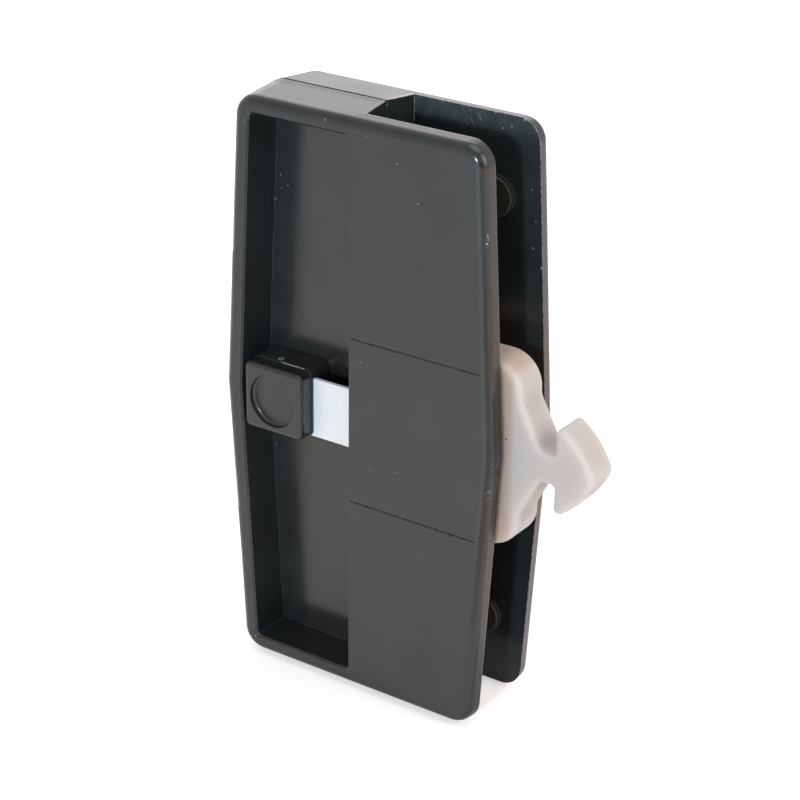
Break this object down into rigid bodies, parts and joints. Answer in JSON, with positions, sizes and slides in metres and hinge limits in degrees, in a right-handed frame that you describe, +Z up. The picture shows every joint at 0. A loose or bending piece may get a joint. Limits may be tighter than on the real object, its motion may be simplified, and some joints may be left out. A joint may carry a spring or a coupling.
{
  "type": "sliding door latch",
  "caption": "Sliding screen door latch and finger pull whose plates grip the door stile, with a thumb knob that slides an arrow-headed bolt.",
  "frame": {"origin": "in the channel that the door stile slides into: level with the front edge of its end wall, halfway between the plates and at mid height", "axes": "+X out of the channel, towards the door jamb, along the bolt's travel; +Y to the back of the door; +Z up along the casing"},
  "size_m": [0.0767, 0.021, 0.1124],
  "materials": {
    "casing": "fine moulded texture, satin, lightly scuffed",
    "knob": "fine moulded texture, satin",
    "strip": "smooth",
    "bolt": "smooth, satin",
    "steel": "zinc plated"
  },
  "bodies": {
    "casing": {"front_casing": "casing", "rear_casing": "casing", "casing_screw_upper": "steel", "casing_screw_lower": "steel"},
    "slide": {"knob_cap": "knob", "knob_base": "knob", "slide_strip": "strip", "latch_bolt": "bolt", "knob_retainer": "steel", "knob_screw": "steel"}
  },
  "joints": [
    {"name": "latch_slide", "type": "slide", "parent": "casing", "child": "slide", "axis": [1, 0, 0], "range_m": [0, 0.0087]}
  ]
}
